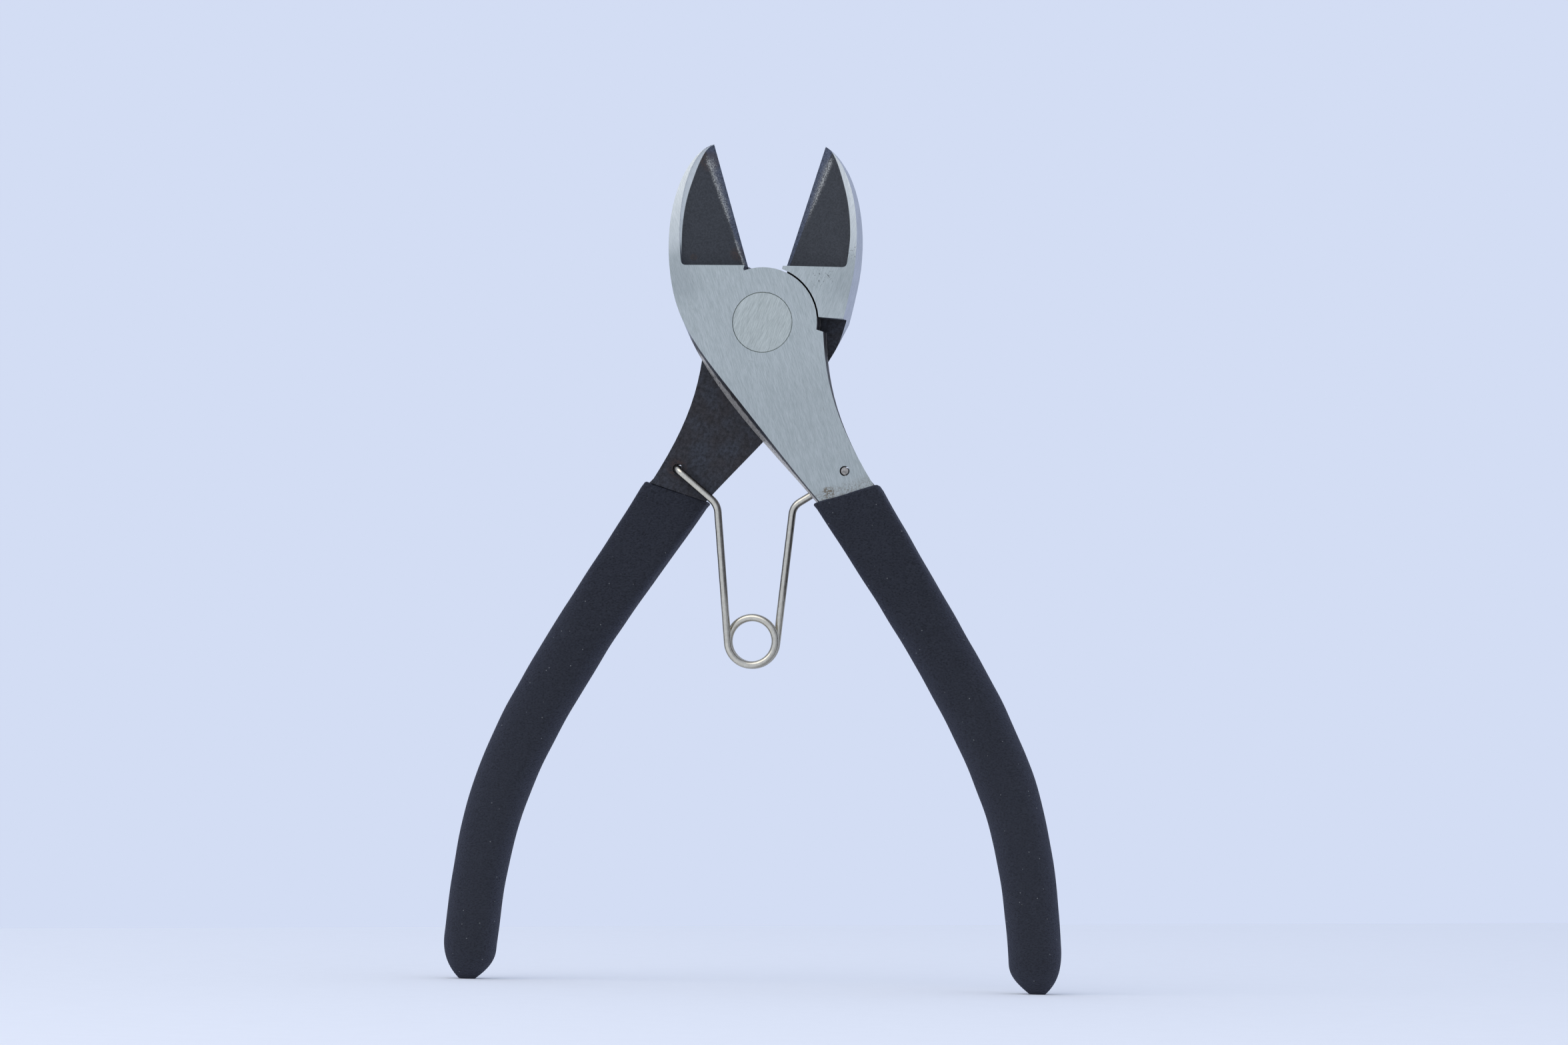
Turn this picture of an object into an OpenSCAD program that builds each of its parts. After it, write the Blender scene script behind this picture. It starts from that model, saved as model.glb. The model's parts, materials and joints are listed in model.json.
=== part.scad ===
// Diagonal cutting pliers with a riveted lap joint, dipped grips and a wire return spring.
// Both levers are the same forging: the rear one is the front one turned half round the upright axis.
// A lever is drawn with its blade upright and its pivot at the origin, then swung open to its rest angle.

/* [Pose] */
// Half of the angle between the blades at rest
rest_half_angle = 17.5; // [14:0.5:19]
// Angle that the levers open beyond rest before their stops meet
spare_opening = 13; // [8:1:16]

/* [Joint] */
// Thickness of the head over both laps
head_t = 10.4; // [9:0.2:13]
// Gap between the two lap faces
lap_gap = 0.1; // [0.06:0.02:0.2]
// Radius of the round lap
lap_r = 11; // [10:0.5:11.5]
// Gap between a round lap and the jaw that curves round it
lap_side_gap = 0.35; // [0.25:0.05:0.5]
// Radius of the rivet
rivet_r = 6.05; // [4.5:0.05:7]
// Bevel round each end of the rivet
rivet_bevel = 0.15; // [0.05:0.05:0.3]
// Radial clearance of the rivet in the lever that turns on it
rivet_running_clearance = 0.05; // [0.02:0.01:0.09]
// Radial clearance of the rivet in the lever that it is fixed to
rivet_seat_clearance = 0.02; // [0.01:0.01:0.04]
// Angle above the level of the pivot where the jaw's shoulder meets the round lap
shoulder_angle = 24; // [18:1:28]
// Tilt of the shoulder
shoulder_tilt = 14; // [8:1:20]
// Width of the stop that meets the shoulder
stop_w = 1.4; // [1:0.1:2]

/* [Jaws] */
// Distance from the pivot to the blade tip
jaw_len = 37.5; // [34:0.5:42]
// Distance from the pivot line to the outside of the jaw where it is widest
jaw_w = 16; // [15:0.25:18]
// Height above the pivot where the jaw is widest
jaw_widest_z = 9; // [7:0.5:11]
// Fullness of the curved outer edge, where 2 is an ellipse
jaw_fullness = 1.8; // [1.6:0.05:2.2]
// Width of the ground rim outside the hollow
rim_w = 3; // [2:0.1:3.5]
// Depth that is ground off the back of the rear lever's jaw
rear_jaw_ground = 1.2; // [0.8:0.1:1.6]
// Height of the hollow's lower edge where it reaches the blade
hollow_z = 11.9; // [11.8:0.1:13.5]
// Slope of the hollow's lower edge
hollow_edge_slope = 17; // [10:1:22]
// Slope of the hollow's floor down towards the blade
hollow_floor_slope = 15; // [11:0.5:18]
// Half thickness of the hollow's floor at the root of the blade
hollow_root_half_t = 0.32; // [0.25:0.01:0.6]
// Slope of the hollow's floor up towards the tip of the blade
hollow_tip_slope = 1.7; // [1:0.1:2.2]
// Reach of the rounding in the hollow's lower corner
hollow_corner_reach = 0.8; // [0.4:0.1:1.5]
// Half of the thickness at the jaw's nose
nose_half_t = 2.2; // [1.8:0.1:3]
// Height above the pivot where the nose starts to thin
nose_start_z = 10; // [9:0.5:14]
// Half of the angle of the cutting edge
edge_half_angle = 40; // [32:1:45]
// Thickness left on the cutting edge
edge_land = 0.1; // [0.06:0.02:0.2]
// Distance of the edge from the cutting line at its tip
edge_tip_gap = 0.03; // [0.02:0.01:0.06]
// Distance of the edge from the cutting line at its root
edge_root_gap = 0.3; // [0.05:0.05:0.5]
// Width of the flat end of the nose
nose_flat = 0.6; // [0.2:0.1:0.8]

/* [Forging] */
// How far the ground face is drawn in from the parting line beside the jaw
jaw_draft = 0.4; // [0.2:0.1:1]
// How far the ground face is drawn in half way down the inside of the neck
neck_draft = 1.8; // [0.8:0.1:2.2]
// How far the ground face is drawn in where the neck enters the grip
neck_end_draft = 0.9; // [0.4:0.1:1.2]
// How far the ground face stands out past the parting line where the tang enters the grip
tang_overhang = 0.5; // [0.1:0.1:0.8]
// Depth of the trimmed band at the parting line
trim_band = 0.8; // [0.4:0.1:1.2]
// Reach of the neck's upper curve below the widest part of the jaw
neck_round = 15; // [12:0.5:18]
// Reach of the neck's lower curve above the grip
neck_run = 16; // [12:0.5:20]
// Lean of the neck's inside edge where it enters the grip
neck_lean = 24; // [18:1:28]
// Distance from the pivot line to the narrow waist of the tang
waist_x = 8.4; // [7.8:0.1:9.2]
// Depth of the waist below the pivot
waist_z = 20; // [18:0.5:22]

/* [Handles] */
// Distance from the pivot to the end of the handle
handle_len = 143.6; // [132:0.2:160]
// Distance from the pivot to the top of the grip
grip_top = 37.6; // [36:0.2:40]
// Distance from the pivot line to the middle of the grip's top
grip_top_x = 6.5; // [6.4:0.1:7.5]
// Distance from the pivot line to the handle's end
grip_tip_x = 15; // [13:0.2:18]
// Upper pull point of the handle's curve, across and down
bow_upper = [22.9, 100];
// Lower pull point of the handle's curve, across and down
bow_lower = [24.3, 104];
// Width of the grip at its top
grip_top_w = 13.8; // [12.5:0.1:14.2]
// Width of the grip along the hand
grip_w = 12.4; // [11:0.1:13]
// Width of the grip where its end starts to round
grip_end_w = 11; // [10:0.1:12]
// Thickness of the grip along the hand
grip_t = 9.4; // [8:0.2:11]
// Length over which the flat top of the grip turns into the rounded handle
hand_run = 36; // [28:1:44]
// Thickness of the dipped layer
coat = 1; // [0.6:0.05:1.2]
// Gap between the two dipped layers where their tops pass each other
grip_pass_gap = 0.3; // [0.2:0.05:0.5]
// Thickness of the dipped layer past the end of the steel
coat_end = 4; // [2.5:0.5:6]
// Length over which the grip's end is rounded
grip_end_round = 8; // [6:0.5:12]
// Width of the flat that the handle stands on
grip_foot_w = 2.2; // [1.5:0.1:4]
// Roll of the grip's top edge
grip_lip = 0.25; // [0.15:0.05:0.4]
// Clearance of the steel inside the dipped layer
coat_seat = 0.02; // [0.01:0.01:0.05]

/* [Spring] */
// Diameter of the wire
wire_d = 1.5; // [1.2:0.1:1.6]
// Gap between neighbouring turns of the coil
wire_gap = 0.46; // [0.44:0.02:0.6]
// Full turns of the coil besides the half turn that joins the legs
coil_full_turns = 1; // [1:1:2]
// Radius of the coil to the middle of the wire
coil_r = 4.75; // [3.75:0.05:5.5]
// Depth of the coil's middle below the pivot
coil_z = 63.6; // [58:0.2:72]
// How far the spring sits to the left of the tool's middle
spring_shift = 1.3; // [0:0.1:2]
// Distance from the coil's middle across to the knee of each leg
knee_x = 7.45; // [6:0.05:9]
// Depth of the knee below the pivot
knee_z = 36.4; // [35:0.1:40]
// Length of the bend on each side of the knee
knee_bend = 1.6; // [1.2:0.1:3]
// Bend radius of the hook to the middle of the wire
hook_bend = 1.5; // [1.2:0.1:1.8]
// Clearance round the hook in its hole
hook_clearance = 0.25; // [0.15:0.05:0.4]
// Distance from the pivot line to the hook hole
hook_hole_x = 7.6; // [6.5:0.1:8.4]
// Depth of the hook hole below the pivot
hook_hole_z = 33.2; // [30:0.2:34]
// Depth of the wire's end below the ground face
hook_end_inset = 0.1; // [0.05:0.05:0.4]

/* [Hidden] */

$fn = 96;
forged_colour = [0.62, 0.66, 0.69];
rear_forged_colour = [0.24, 0.25, 0.28];
rivet_colour = [0.58, 0.62, 0.65];
wire_colour = [0.74, 0.74, 0.72];
grip_colour = [0.16, 0.17, 0.20];

half_t = head_t / 2;
lap_face_y = -lap_gap / 2;
closing_angle = 2 * rest_half_angle;
opening_angle = closing_angle + spare_opening;
cut_margin = 2;
jaw_steps = 20;
neck_steps = 18;
tang_steps = 12;
corner_steps = 5;
grip_rings = 34;
grip_end_rings = 7;
grip_sides = 24;
wire_sides = 8;
bend_steps = 5;
coil_steps = 24;

// Curves and turns in the plane of the tool, as points across and up
function bezier3(p, t) =
    pow(1 - t, 3) * p[0] + 3 * t * pow(1 - t, 2) * p[1] + 3 * t * t * (1 - t) * p[2] + pow(t, 3) * p[3];
function bezier2(p, t) = pow(1 - t, 2) * p[0] + 2 * t * (1 - t) * p[1] + t * t * p[2];
function turn(p, a) = [p[0] * cos(a) - p[1] * sin(a), p[0] * sin(a) + p[1] * cos(a)];
function unit(v) = v / norm(v);
function signed_power(v, e) = sign(v) * pow(abs(v), e);
function ease(t) = let(u = min(1, max(0, t))) u * u * (3 - 2 * u);
function mix(a, b, t) = a + (b - a) * t;

// Outer curve of the jaw: a full ellipse arc from the nose, at 90 degrees, to the widest point, at 0
function jaw_arc(a, reach_x, reach_z) =
    [-reach_x * pow(cos(a), 2 / jaw_fullness), jaw_widest_z + reach_z * pow(sin(a), 2 / jaw_fullness)];
jaw_reach_z = jaw_len - jaw_widest_z;
nose_angle = 90 - asin(pow(nose_flat / jaw_w, jaw_fullness / 2));
function jaw_normal(a) =
    unit([-pow(cos(a), 2 - 2 / jaw_fullness) / jaw_w, pow(sin(a), 2 - 2 / jaw_fullness) / jaw_reach_z]);
jaw_angles = [for (i = [0 : jaw_steps]) nose_angle * (1 - i / jaw_steps)];

// Handle: level sections along one curve, from the grip's top, at 0, to the handle's end, at 1
handle_curve = [
    [grip_top_x, -grip_top],
    [bow_upper[0], -bow_upper[1]],
    [bow_lower[0], -bow_lower[1]],
    [grip_tip_x, -handle_len]
];
grip_root_t = half_t + coat - grip_pass_gap / 2;
grip_root_y = -(half_t + coat + grip_pass_gap / 2) / 2;
root_squareness = 7;
hand_squareness = 2.6;
function past_top(t) = min(1, (-bezier3(handle_curve, t)[1] - grip_top) / hand_run);
function past_hand(t) =
    (-bezier3(handle_curve, t)[1] - grip_top - hand_run) / (handle_len - grip_end_round - grip_top - hand_run);
function grip_half_w(t) =
    (grip_w + (grip_top_w - grip_w) * pow(1 - past_top(t), 2) + (grip_end_w - grip_w) * ease(past_hand(t))) / 2;
function grip_half_t(t) = mix(grip_root_t, grip_t, ease(past_top(t))) / 2;
function grip_mid_y(t) = grip_root_y * (1 - ease(past_top(t)));
function grip_squareness(t) = mix(root_squareness, hand_squareness, ease(past_top(t)));

// Rounded end of the handle: it narrows to a foot that lies level when the open tool stands on it
function past_end_start(t) =
    max(0, (-bezier3(handle_curve, t)[1] - handle_len + grip_end_round) / grip_end_round);
function end_shrink(t) = 1 - (1 - grip_foot_w / grip_end_w) * pow(past_end_start(t), 2);
function foot_slope(t) = -tan(rest_half_angle) * past_end_start(t);
function grip_ring(t, inset, lower = 0) =
    let(
        middle = bezier3(handle_curve, t),
        w = (grip_half_w(t) - inset) * end_shrink(t),
        h = (grip_half_t(t) - inset) * end_shrink(t),
        power = 2 / grip_squareness(t)
    )
    [for (i = [0 : grip_sides - 1])
        let(a = 360 * i / grip_sides, across = w * signed_power(cos(a), power))
        [
            middle[0] + across,
            grip_mid_y(t) + h * signed_power(sin(a), power),
            middle[1] - lower + foot_slope(t) * across
        ]
    ];

// Curve values where the rounded end and the steel's end start, by the handle's steep lower run
handle_end_rate = 3 * (handle_len - bow_lower[1]);
end_start = 1 - grip_end_round / handle_end_rate;
steel_end = 1 - coat_end / handle_end_rate;
grip_outer_rings = concat(
    [grip_ring(0, grip_lip)],
    [for (i = [0 : grip_rings]) grip_ring(end_start * i / grip_rings, 0, i == 0 ? grip_lip : 0)],
    [for (i = [1 : grip_end_rings]) grip_ring(mix(end_start, 1, i / grip_end_rings), 0)]
);

// Steel inside the grip: its top tapers into the neck
plug_taper = 0.9;
function tang_rings(inset) = concat(
    [grip_ring(0, inset + plug_taper, -cut_margin)],
    [for (i = [0 : grip_rings]) grip_ring(steel_end * i / grip_rings, inset)]
);

// Height of the pivot when the open tool stands on its handle ends
function rest_z(p) = p[0] * sin(rest_half_angle) + p[2] * cos(rest_half_angle);
pivot_z = -min([for (ring = grip_outer_rings) for (p = ring) rest_z(p)]);

// Shoulder line of the rear jaw, and the stop that meets it when the levers are fully open
function shoulder_point(s) =
    lap_r * [cos(shoulder_angle), sin(shoulder_angle)] + s * [cos(shoulder_tilt), sin(shoulder_tilt)];
stop_margin = 0.3;
function stop_point(s) = turn(shoulder_point(s), -opening_angle - stop_margin);

// Stretches of the forging's outline, each point with the step from parting line to ground face
tang_inner_x = grip_top_x - grip_top_w / 2 + coat;
tang_outer_x = grip_top_x + grip_top_w / 2 - coat;
neck_end = [tang_inner_x - neck_end_draft / 2, -grip_top + coat_seat];
neck_curve = [
    [-jaw_w, jaw_widest_z],
    [-jaw_w, jaw_widest_z - neck_round],
    neck_end + neck_run * [-sin(neck_lean), cos(neck_lean)],
    neck_end
];
waist_pull = 4;
tang_curve = [
    [tang_outer_x - tang_overhang, -grip_top + coat_seat],
    [waist_x, -waist_z - waist_pull],
    [waist_x, -waist_z + waist_pull],
    stop_point(stop_w)
];
notch = [-0.7, 0.35];
nose_end = [[-edge_tip_gap, jaw_len], [0, -jaw_draft]];
jaw_stretch = [for (a = jaw_angles) [jaw_arc(a, jaw_w, jaw_reach_z), -jaw_draft * jaw_normal(a)]];
function neck_drawn_in(t) = mix(mix(jaw_draft, neck_draft, ease(2 * t)), neck_end_draft, ease(2 * t - 1));
neck_stretch = [for (i = [1 : neck_steps])
    let(t = i / neck_steps)
    [bezier3(neck_curve, t), [neck_drawn_in(t), 0]]
];
tang_stretch = [for (i = [0 : tang_steps])
    let(t = i / tang_steps)
    [bezier3(tang_curve, t), [tang_overhang * (1 - t), 0]]
];
lap_stretch = [
    [stop_point(-cut_margin), [0, 0]],
    [[notch[0], lap_r - cut_margin], [0, 0]],
    [[notch[0], lap_r + notch[1]], [0, 0]],
    [[-edge_root_gap, hollow_z], [0, 0]]
];
slab_outline = concat([nose_end], jaw_stretch, neck_stretch, tang_stretch, lap_stretch);
slab_left_count = len(jaw_stretch) + len(neck_stretch);
jaw_neck_points = 8;
jaw_outline = concat(
    [nose_end],
    jaw_stretch,
    [for (i = [0 : jaw_neck_points - 1]) neck_stretch[i]],
    [[[-edge_root_gap, 0], [0, 0]], [[-edge_root_gap, hollow_z], [0, 0]]]
);
jaw_left_count = len(jaw_stretch) + jaw_neck_points;

// A closed solid through a row of rings with the same number of points, each end closed by the given faces
module loft(rings, cap = []) {
    count = len(rings[0]);
    last = len(rings) - 1;
    points = [for (ring = rings) for (p = ring) p];
    sides = [for (r = [0 : last - 1]) for (i = [0 : count - 1])
        let(a = r * count + i, b = r * count + (i + 1) % count)
        each [[a, b, b + count], [a, b + count, a + count]]
    ];
    first_cap = len(cap) > 0 ? cap : [[for (i = [count - 1 : -1 : 0]) i]];
    last_cap = [for (face = first_cap) [for (k = [len(face) - 1 : -1 : 0]) last * count + face[k]]];
    polyhedron(points, concat(sides, first_cap, last_cap), convexity = 8);
}

// Triangles across an outline that runs down its left side and back up its right side, taken from the top
function across_faces(outline, left_count) =
    let(
        count = len(outline),
        right_count = count - left_count,
        height = function(i) outline[i % count][0][1]
    )
    [for (step = 0, left = 1, right = 0, use_left = height(2) >= height(count - 1);
        step < count - 2;
        left = left + (use_left ? 1 : 0),
        right = right + (use_left ? 0 : 1),
        use_left = left < left_count
            && (right == right_count - 1 || height(left + 1) >= height(count - right - 1)),
        step = step + 1)
        [left, (count - right) % count, use_left ? left + 1 : count - right - 1]
    ];

// A forged slab from the parting plane to a ground face, with its drawn-in wall and the trimmed band below
// it, which leans out by a share of the draft
trim_lean = 0.2;
function forged_ring(outline, y, drawn_in) =
    [for (p = outline) let(q = p[0] + drawn_in * p[1]) [q[0], y, q[1]]];
module forged_slab(outline, left_count, parting_y, face_y) {
    band_y = parting_y + sign(face_y) * trim_band;
    rings = [
        forged_ring(outline, parting_y, -trim_lean),
        forged_ring(outline, band_y, 0),
        forged_ring(outline, face_y, 1)
    ];
    loft(face_y > 0 ? rings : [rings[2], rings[1], rings[0]], across_faces(outline, left_count));
}

// A flat outline in the plane of the tool, given its thickness from y0 to y1
module plate(y0, y1) {
    translate([0, y1, 0]) rotate([90, 0, 0]) linear_extrude(y1 - y0) children();
}
module across_pin(radius, y0, y1) {
    translate([0, y1, 0]) rotate([90, 0, 0]) cylinder(r = radius, h = y1 - y0);
}

// Jaw behind the lap: full thickness outside the other lever's round lap and above the shoulder
module rear_jaw() {
    difference() {
        forged_slab(jaw_outline, jaw_left_count, lap_face_y - trim_band / 2, half_t);
        across_pin(lap_r + lap_side_gap, -half_t, half_t + cut_margin);
        plate(-half_t, half_t + cut_margin) mirror([1, 0])
            translate(shoulder_point(0)) rotate(shoulder_tilt)
                translate([-jaw_w, -2 * jaw_w]) square([3 * jaw_w, 2 * jaw_w]);
    }
}

// Outline of the hollow beside the blade, with its rounded lower corner
hollow_reach_x = jaw_w - rim_w;
function hollow_edge_z(x) = hollow_z - x * tan(hollow_edge_slope);
function jaw_arc_angle(z) = asin(pow((z - jaw_widest_z) / jaw_reach_z, jaw_fullness / 2));
hollow_outer_angle = jaw_arc_angle(hollow_edge_z(-hollow_reach_x));
hollow_corner_x = jaw_arc(hollow_outer_angle, hollow_reach_x, jaw_reach_z)[0];
hollow_corner = [hollow_corner_x, hollow_edge_z(hollow_corner_x)];
hollow_corner_angle = jaw_arc_angle(hollow_corner[1] + hollow_corner_reach);
hollow_side = jaw_arc(hollow_corner_angle, hollow_reach_x, jaw_reach_z);
hollow_base_x = hollow_corner_x + hollow_corner_reach;
hollow_base = [hollow_base_x, hollow_edge_z(hollow_base_x)];
module hollow_outline() {
    polygon(concat(
        [[cut_margin, jaw_len + cut_margin], [-nose_flat, jaw_len + cut_margin]],
        [for (i = [0 : jaw_steps])
            jaw_arc(mix(nose_angle, hollow_corner_angle, i / jaw_steps), hollow_reach_x, jaw_reach_z)],
        [for (i = [1 : corner_steps]) bezier2([hollow_side, hollow_corner, hollow_base], i / corner_steps)],
        [[cut_margin, hollow_edge_z(cut_margin)]]
    ));
}

// Space above the hollow's sloping floor and above the ground bevel of the cutting edge, on the front
module above_floor() {
    translate([0, -hollow_root_half_t, hollow_z])
        rotate([hollow_tip_slope, 0, 0]) rotate([0, 0, hollow_floor_slope])
            translate([-3 * jaw_len, -2 * jaw_len, -jaw_len]) cube([4 * jaw_len, 2 * jaw_len, 3 * jaw_len]);
}
edge_lean = atan((edge_root_gap - edge_tip_gap) / (jaw_len - hollow_z));
module above_bevel() {
    translate([-edge_root_gap, -edge_land / 2, hollow_z])
        rotate([0, edge_lean, 0]) rotate([0, 0, edge_half_angle])
            translate([-3 * jaw_len, -2 * jaw_len, -jaw_len]) cube([4 * jaw_len, 2 * jaw_len, 3 * jaw_len]);
}
module hollow_cut() {
    intersection() {
        plate(-half_t - cut_margin, 0) hollow_outline();
        union() {
            above_floor();
            above_bevel();
        }
    }
}

// Thinning of the nose: what lies outside a wide arc that leaves the ground face smoothly
nose_drop = half_t - nose_half_t;
nose_run = jaw_len - nose_start_z;
nose_r = (nose_run * nose_run + nose_drop * nose_drop) / (2 * nose_drop);
module nose_cut() {
    translate([-jaw_w - cut_margin, 0, 0]) rotate([90, 0, 90]) linear_extrude(jaw_w + 2 * cut_margin)
        difference() {
            translate([-half_t - cut_margin, nose_start_z])
                square([nose_drop + 2 * cut_margin, nose_run + cut_margin]);
            translate([nose_r - half_t, nose_start_z]) circle(nose_r, $fn = 720);
        }
}

// Grinding of the rear lever's jaw back: it runs in below the widest point and follows the curve to the nose
back_run_in = [-3, 12];
back_clear = 0.3;
back_neck_share = 0.25;
back_neck_steps = 6;
function ground_back(p) =
    p + [mix(-back_clear, rear_jaw_ground, ease((p[1] - back_run_in[0]) / (back_run_in[1] - back_run_in[0]))), 0];
module back_grinding() {
    back_x = -jaw_w - 2 * cut_margin;
    low_end = ground_back(bezier3(neck_curve, back_neck_share));
    plate(-half_t - cut_margin, half_t + cut_margin)
        polygon(concat(
            [for (a = jaw_angles) ground_back(jaw_arc(a, jaw_w, jaw_reach_z))],
            [for (i = [1 : back_neck_steps]) ground_back(bezier3(neck_curve, back_neck_share * i / back_neck_steps))],
            [[back_x, low_end[1]], [back_x, jaw_len + cut_margin], [cut_margin, jaw_len + cut_margin]]
        ));
}
module both_sides() {
    children();
    mirror([0, 1, 0]) children();
}

// Steel tang inside the grip
module tang_core(inset) {
    loft(tang_rings(inset));
}

// One whole lever with its blade upright
module lever(bore_clearance) {
    difference() {
        union() {
            forged_slab(slab_outline, slab_left_count, lap_face_y, -half_t);
            across_pin(lap_r, -half_t, lap_face_y);
            rear_jaw();
            tang_core(coat);
        }
        both_sides() {
            hollow_cut();
            nose_cut();
        }
        across_pin(rivet_r + bore_clearance, -half_t - cut_margin, cut_margin);
        translate([hook_hole_x, 0, -hook_hole_z])
            across_pin(wire_d / 2 + hook_clearance, -half_t - cut_margin, cut_margin);
    }
}

module dipped_grip() {
    difference() {
        loft(grip_outer_rings);
        tang_core(coat - coat_seat);
    }
}

// Swing of each lever from blade upright to rest, on the pivot at its height above the handle ends
module front_pose() {
    translate([0, 0, pivot_z]) rotate([0, -rest_half_angle, 0]) children();
}
module rear_pose() {
    translate([0, 0, pivot_z]) rotate([0, rest_half_angle, 0]) rotate([0, 0, 180]) children();
}

// Spring wire about the coil's own upright axis, from a hook hole on the left to the top of the coil
pitch = wire_d + wire_gap;
coil_middle = [0, -coil_z];
knee = [-knee_x, -knee_z];
hook_hole = turn([hook_hole_x, -hook_hole_z], rest_half_angle);
knee_reach = knee - coil_middle;
coil_start = atan2(knee_reach[1], knee_reach[0]) + acos(coil_r / norm(knee_reach));
coil_mid = 270 + 180 * coil_full_turns;
function coil_y(a) = pitch * (a - coil_mid) / 360;
function coil_point(a) = coil_middle + coil_r * [cos(a), sin(a)];
leg_y = coil_y(coil_start);
leg_way = unit(coil_point(coil_start) - knee);
function lift(p, y) = [p[0], y, p[1]];
function half_wire(hook_x) =
    let(hook = [hook_x, hook_hole[1]], hook_way = unit(knee - hook))
    concat(
        [lift(hook, half_t - hook_end_inset), lift(hook, leg_y + hook_bend + wire_d)],
        [for (i = [0 : bend_steps])
            let(a = 90 * i / bend_steps)
            lift(hook + hook_bend * (1 - cos(a)) * hook_way, leg_y + hook_bend * (1 - sin(a)))],
        [for (i = [0 : bend_steps])
            lift(bezier2([knee - knee_bend * hook_way, knee, knee + knee_bend * leg_way], i / bend_steps), leg_y)],
        [for (i = [0 : coil_steps])
            let(a = mix(coil_start, coil_mid, i / coil_steps))
            lift(coil_point(a), coil_y(a))]
    );

// Whole wire: the left half, and the right one turned half round the coil's axis, both moved with the coil
left_half = half_wire(spring_shift - hook_hole[0]);
right_half = half_wire(-spring_shift - hook_hole[0]);
wire_path = concat(
    [for (p = left_half) p - [spring_shift, 0, 0]],
    [for (i = [len(right_half) - 2 : -1 : 0])
        let(p = right_half[i])
        [-p[0] - spring_shift, -p[1], p[2]]
    ]
);
wire_count = len(wire_path);

// Smallest space between two stretches of wire that lie more than a few diameters apart along it
wire_run = [for (i = 0, s = 0; i < wire_count;
    s = s + (i + 1 < wire_count ? norm(wire_path[i + 1] - wire_path[i]) : 0), i = i + 1) s];
separate_run = 4 * wire_d;
least_wire_gap = min([for (i = [0 : wire_count - 1]) for (j = [i + 1 : 1 : wire_count - 1])
    if (wire_run[j] - wire_run[i] > separate_run) norm(wire_path[j] - wire_path[i])]) - wire_d;
echo(least_wire_gap = least_wire_gap);

// Rings of the wire, square to its path and carried along it without twist
function wire_way(i) = unit(wire_path[min(i + 1, wire_count - 1)] - wire_path[max(i - 1, 0)]);
function squared(v, way) = unit(v - (v * way) * way);
wire_sides_x = [for (i = 0, n = squared([0, 0, 1], wire_way(0)); i < wire_count;
    n = i + 1 < wire_count ? squared(n, wire_way(i + 1)) : n, i = i + 1) n];
wire_rings = [for (i = [0 : wire_count - 1])
    let(u = wire_sides_x[i], v = cross(wire_way(i), u))
    [for (k = [0 : wire_sides - 1])
        let(a = 360 * k / wire_sides)
        wire_path[i] + wire_d / 2 * (cos(a) * u + sin(a) * v)]
];

module front_lever() {
    color(forged_colour) front_pose() lever(rivet_seat_clearance);
}
module rear_lever() {
    color(rear_forged_colour) rear_pose() difference() {
        lever(rivet_running_clearance);
        back_grinding();
    }
}
module pivot_rivet() {
    color(rivet_colour) translate([0, half_t, pivot_z]) rotate([90, 0, 0]) rotate_extrude()
        polygon([
            [0, 0],
            [rivet_r - rivet_bevel, 0],
            [rivet_r, rivet_bevel],
            [rivet_r, head_t - rivet_bevel],
            [rivet_r - rivet_bevel, head_t],
            [0, head_t]
        ]);
}
module return_spring() {
    color(wire_colour) translate([0, 0, pivot_z]) loft(wire_rings);
}
module front_grip() {
    color(grip_colour) front_pose() dipped_grip();
}
module rear_grip() {
    color(grip_colour) rear_pose() dipped_grip();
}

front_lever();
rear_lever();
pivot_rivet();
return_spring();
front_grip();
rear_grip();
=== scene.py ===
"""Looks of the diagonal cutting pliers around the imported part: steel, grips, wire, stage and camera."""

import json
import math

import bpy
from mathutils import Matrix, Vector, noise


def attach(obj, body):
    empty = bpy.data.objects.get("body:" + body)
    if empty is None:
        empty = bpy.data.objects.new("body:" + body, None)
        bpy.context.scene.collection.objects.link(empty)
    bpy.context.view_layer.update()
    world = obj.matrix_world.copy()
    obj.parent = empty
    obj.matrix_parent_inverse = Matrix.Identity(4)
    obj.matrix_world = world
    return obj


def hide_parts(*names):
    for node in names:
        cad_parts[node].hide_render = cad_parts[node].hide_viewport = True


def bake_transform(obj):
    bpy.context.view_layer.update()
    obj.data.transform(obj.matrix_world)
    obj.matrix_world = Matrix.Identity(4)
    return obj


MM = 0.001
SHARP_ANGLE = 60

# Sizes of the part that its looks follow, in millimetres and degrees, with a lever's blade upright
REST_HALF_ANGLE = 17.5
HALF_T = 5.2
NOSE_START = 10.0
NOSE_HALF_T = 2.2
JAW_LEN = 37.5
JAW_W = 16.0
JAW_WIDEST_Z = 9.0
JAW_FULLNESS = 1.8
HOLLOW_Z = 11.9
HOLLOW_LEAST_Z = HOLLOW_Z - 1
BLADE_MOST_X = 0.5
BEVEL_LEAST_X = -4.0
HOLLOW_FLOOR_FACING = 0.9
WALL_FACING = 0.5
GROUND_SKIN = 0.06
BORE_REACH = 6.4
TANG_LEAN = 0.173
GRIP_TOP = 37.6
HOOK_HOLE = (7.6, -33.2)

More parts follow.
